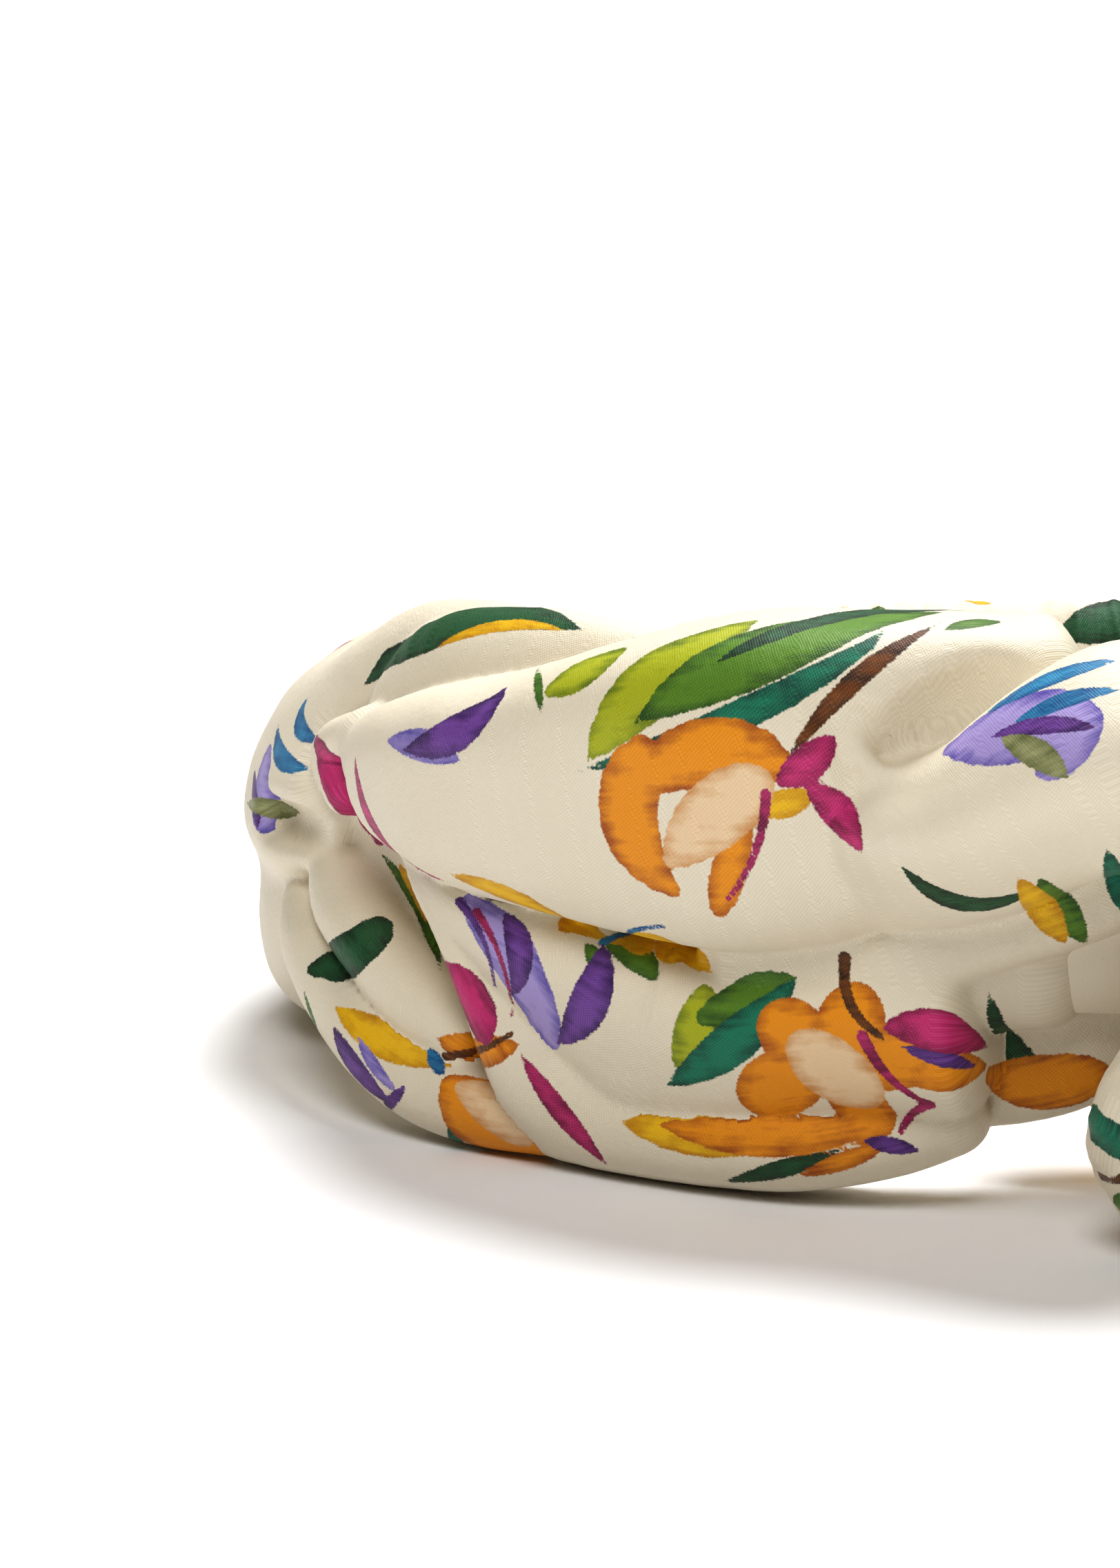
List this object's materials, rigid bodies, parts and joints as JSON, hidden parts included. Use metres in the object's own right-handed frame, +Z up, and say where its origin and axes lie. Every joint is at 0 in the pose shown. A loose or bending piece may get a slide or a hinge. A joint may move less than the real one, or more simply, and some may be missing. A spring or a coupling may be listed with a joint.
{
  "type": "knotted fabric headband",
  "caption": "Wide soft headband of printed satin: two wadded band tubes meet in a twisted knot at the front and a ruched elastic casing closes the loop behind.",
  "frame": {"origin": "under the middle of the outer box, at the level of the table the headband stands on", "axes": "+Z up, away from the table the lower edge rests on; the knot faces -Y and the elastic is at +Y; +X is the loop's width"},
  "size_m": [0.198, 0.1896, 0.0634],
  "materials": {
    "printed_silk": "ivory silk satin with a soft sheen, visible fine weave and a watercolour flower print",
    "wadding": "soft matte polyester wadding",
    "thread": "fine sewing thread",
    "elastic": "flat ribbed woven elastic",
    "label": "blank white satin ribbon"
  },
  "bodies": {
    "left_half_and_knot": {"left_band_cover": "printed_silk", "left_band_wadding": "wadding", "knot_left_fold": "printed_silk", "knot_right_fold": "printed_silk", "knot_core": "printed_silk", "knot_tack_stitches": "thread", "elastic_strip": "elastic", "elastic_casing": "printed_silk", "left_join_stitches": "thread", "care_label": "label"},
    "right_half": {"right_band_cover": "printed_silk", "right_band_wadding": "wadding", "right_join_stitches": "thread"}
  },
  "joints": [
    {"name": "elastic_stretch", "type": "hinge", "parent": "left_half_and_knot", "child": "right_half", "pos_m": [0.03, -0.063, 0.03], "axis": [0, 0, -1], "range_deg": [0, 10], "stiffness_Nm_per_rad": 1.2, "deforming": ["elastic_casing", "elastic_strip"]}
  ]
}
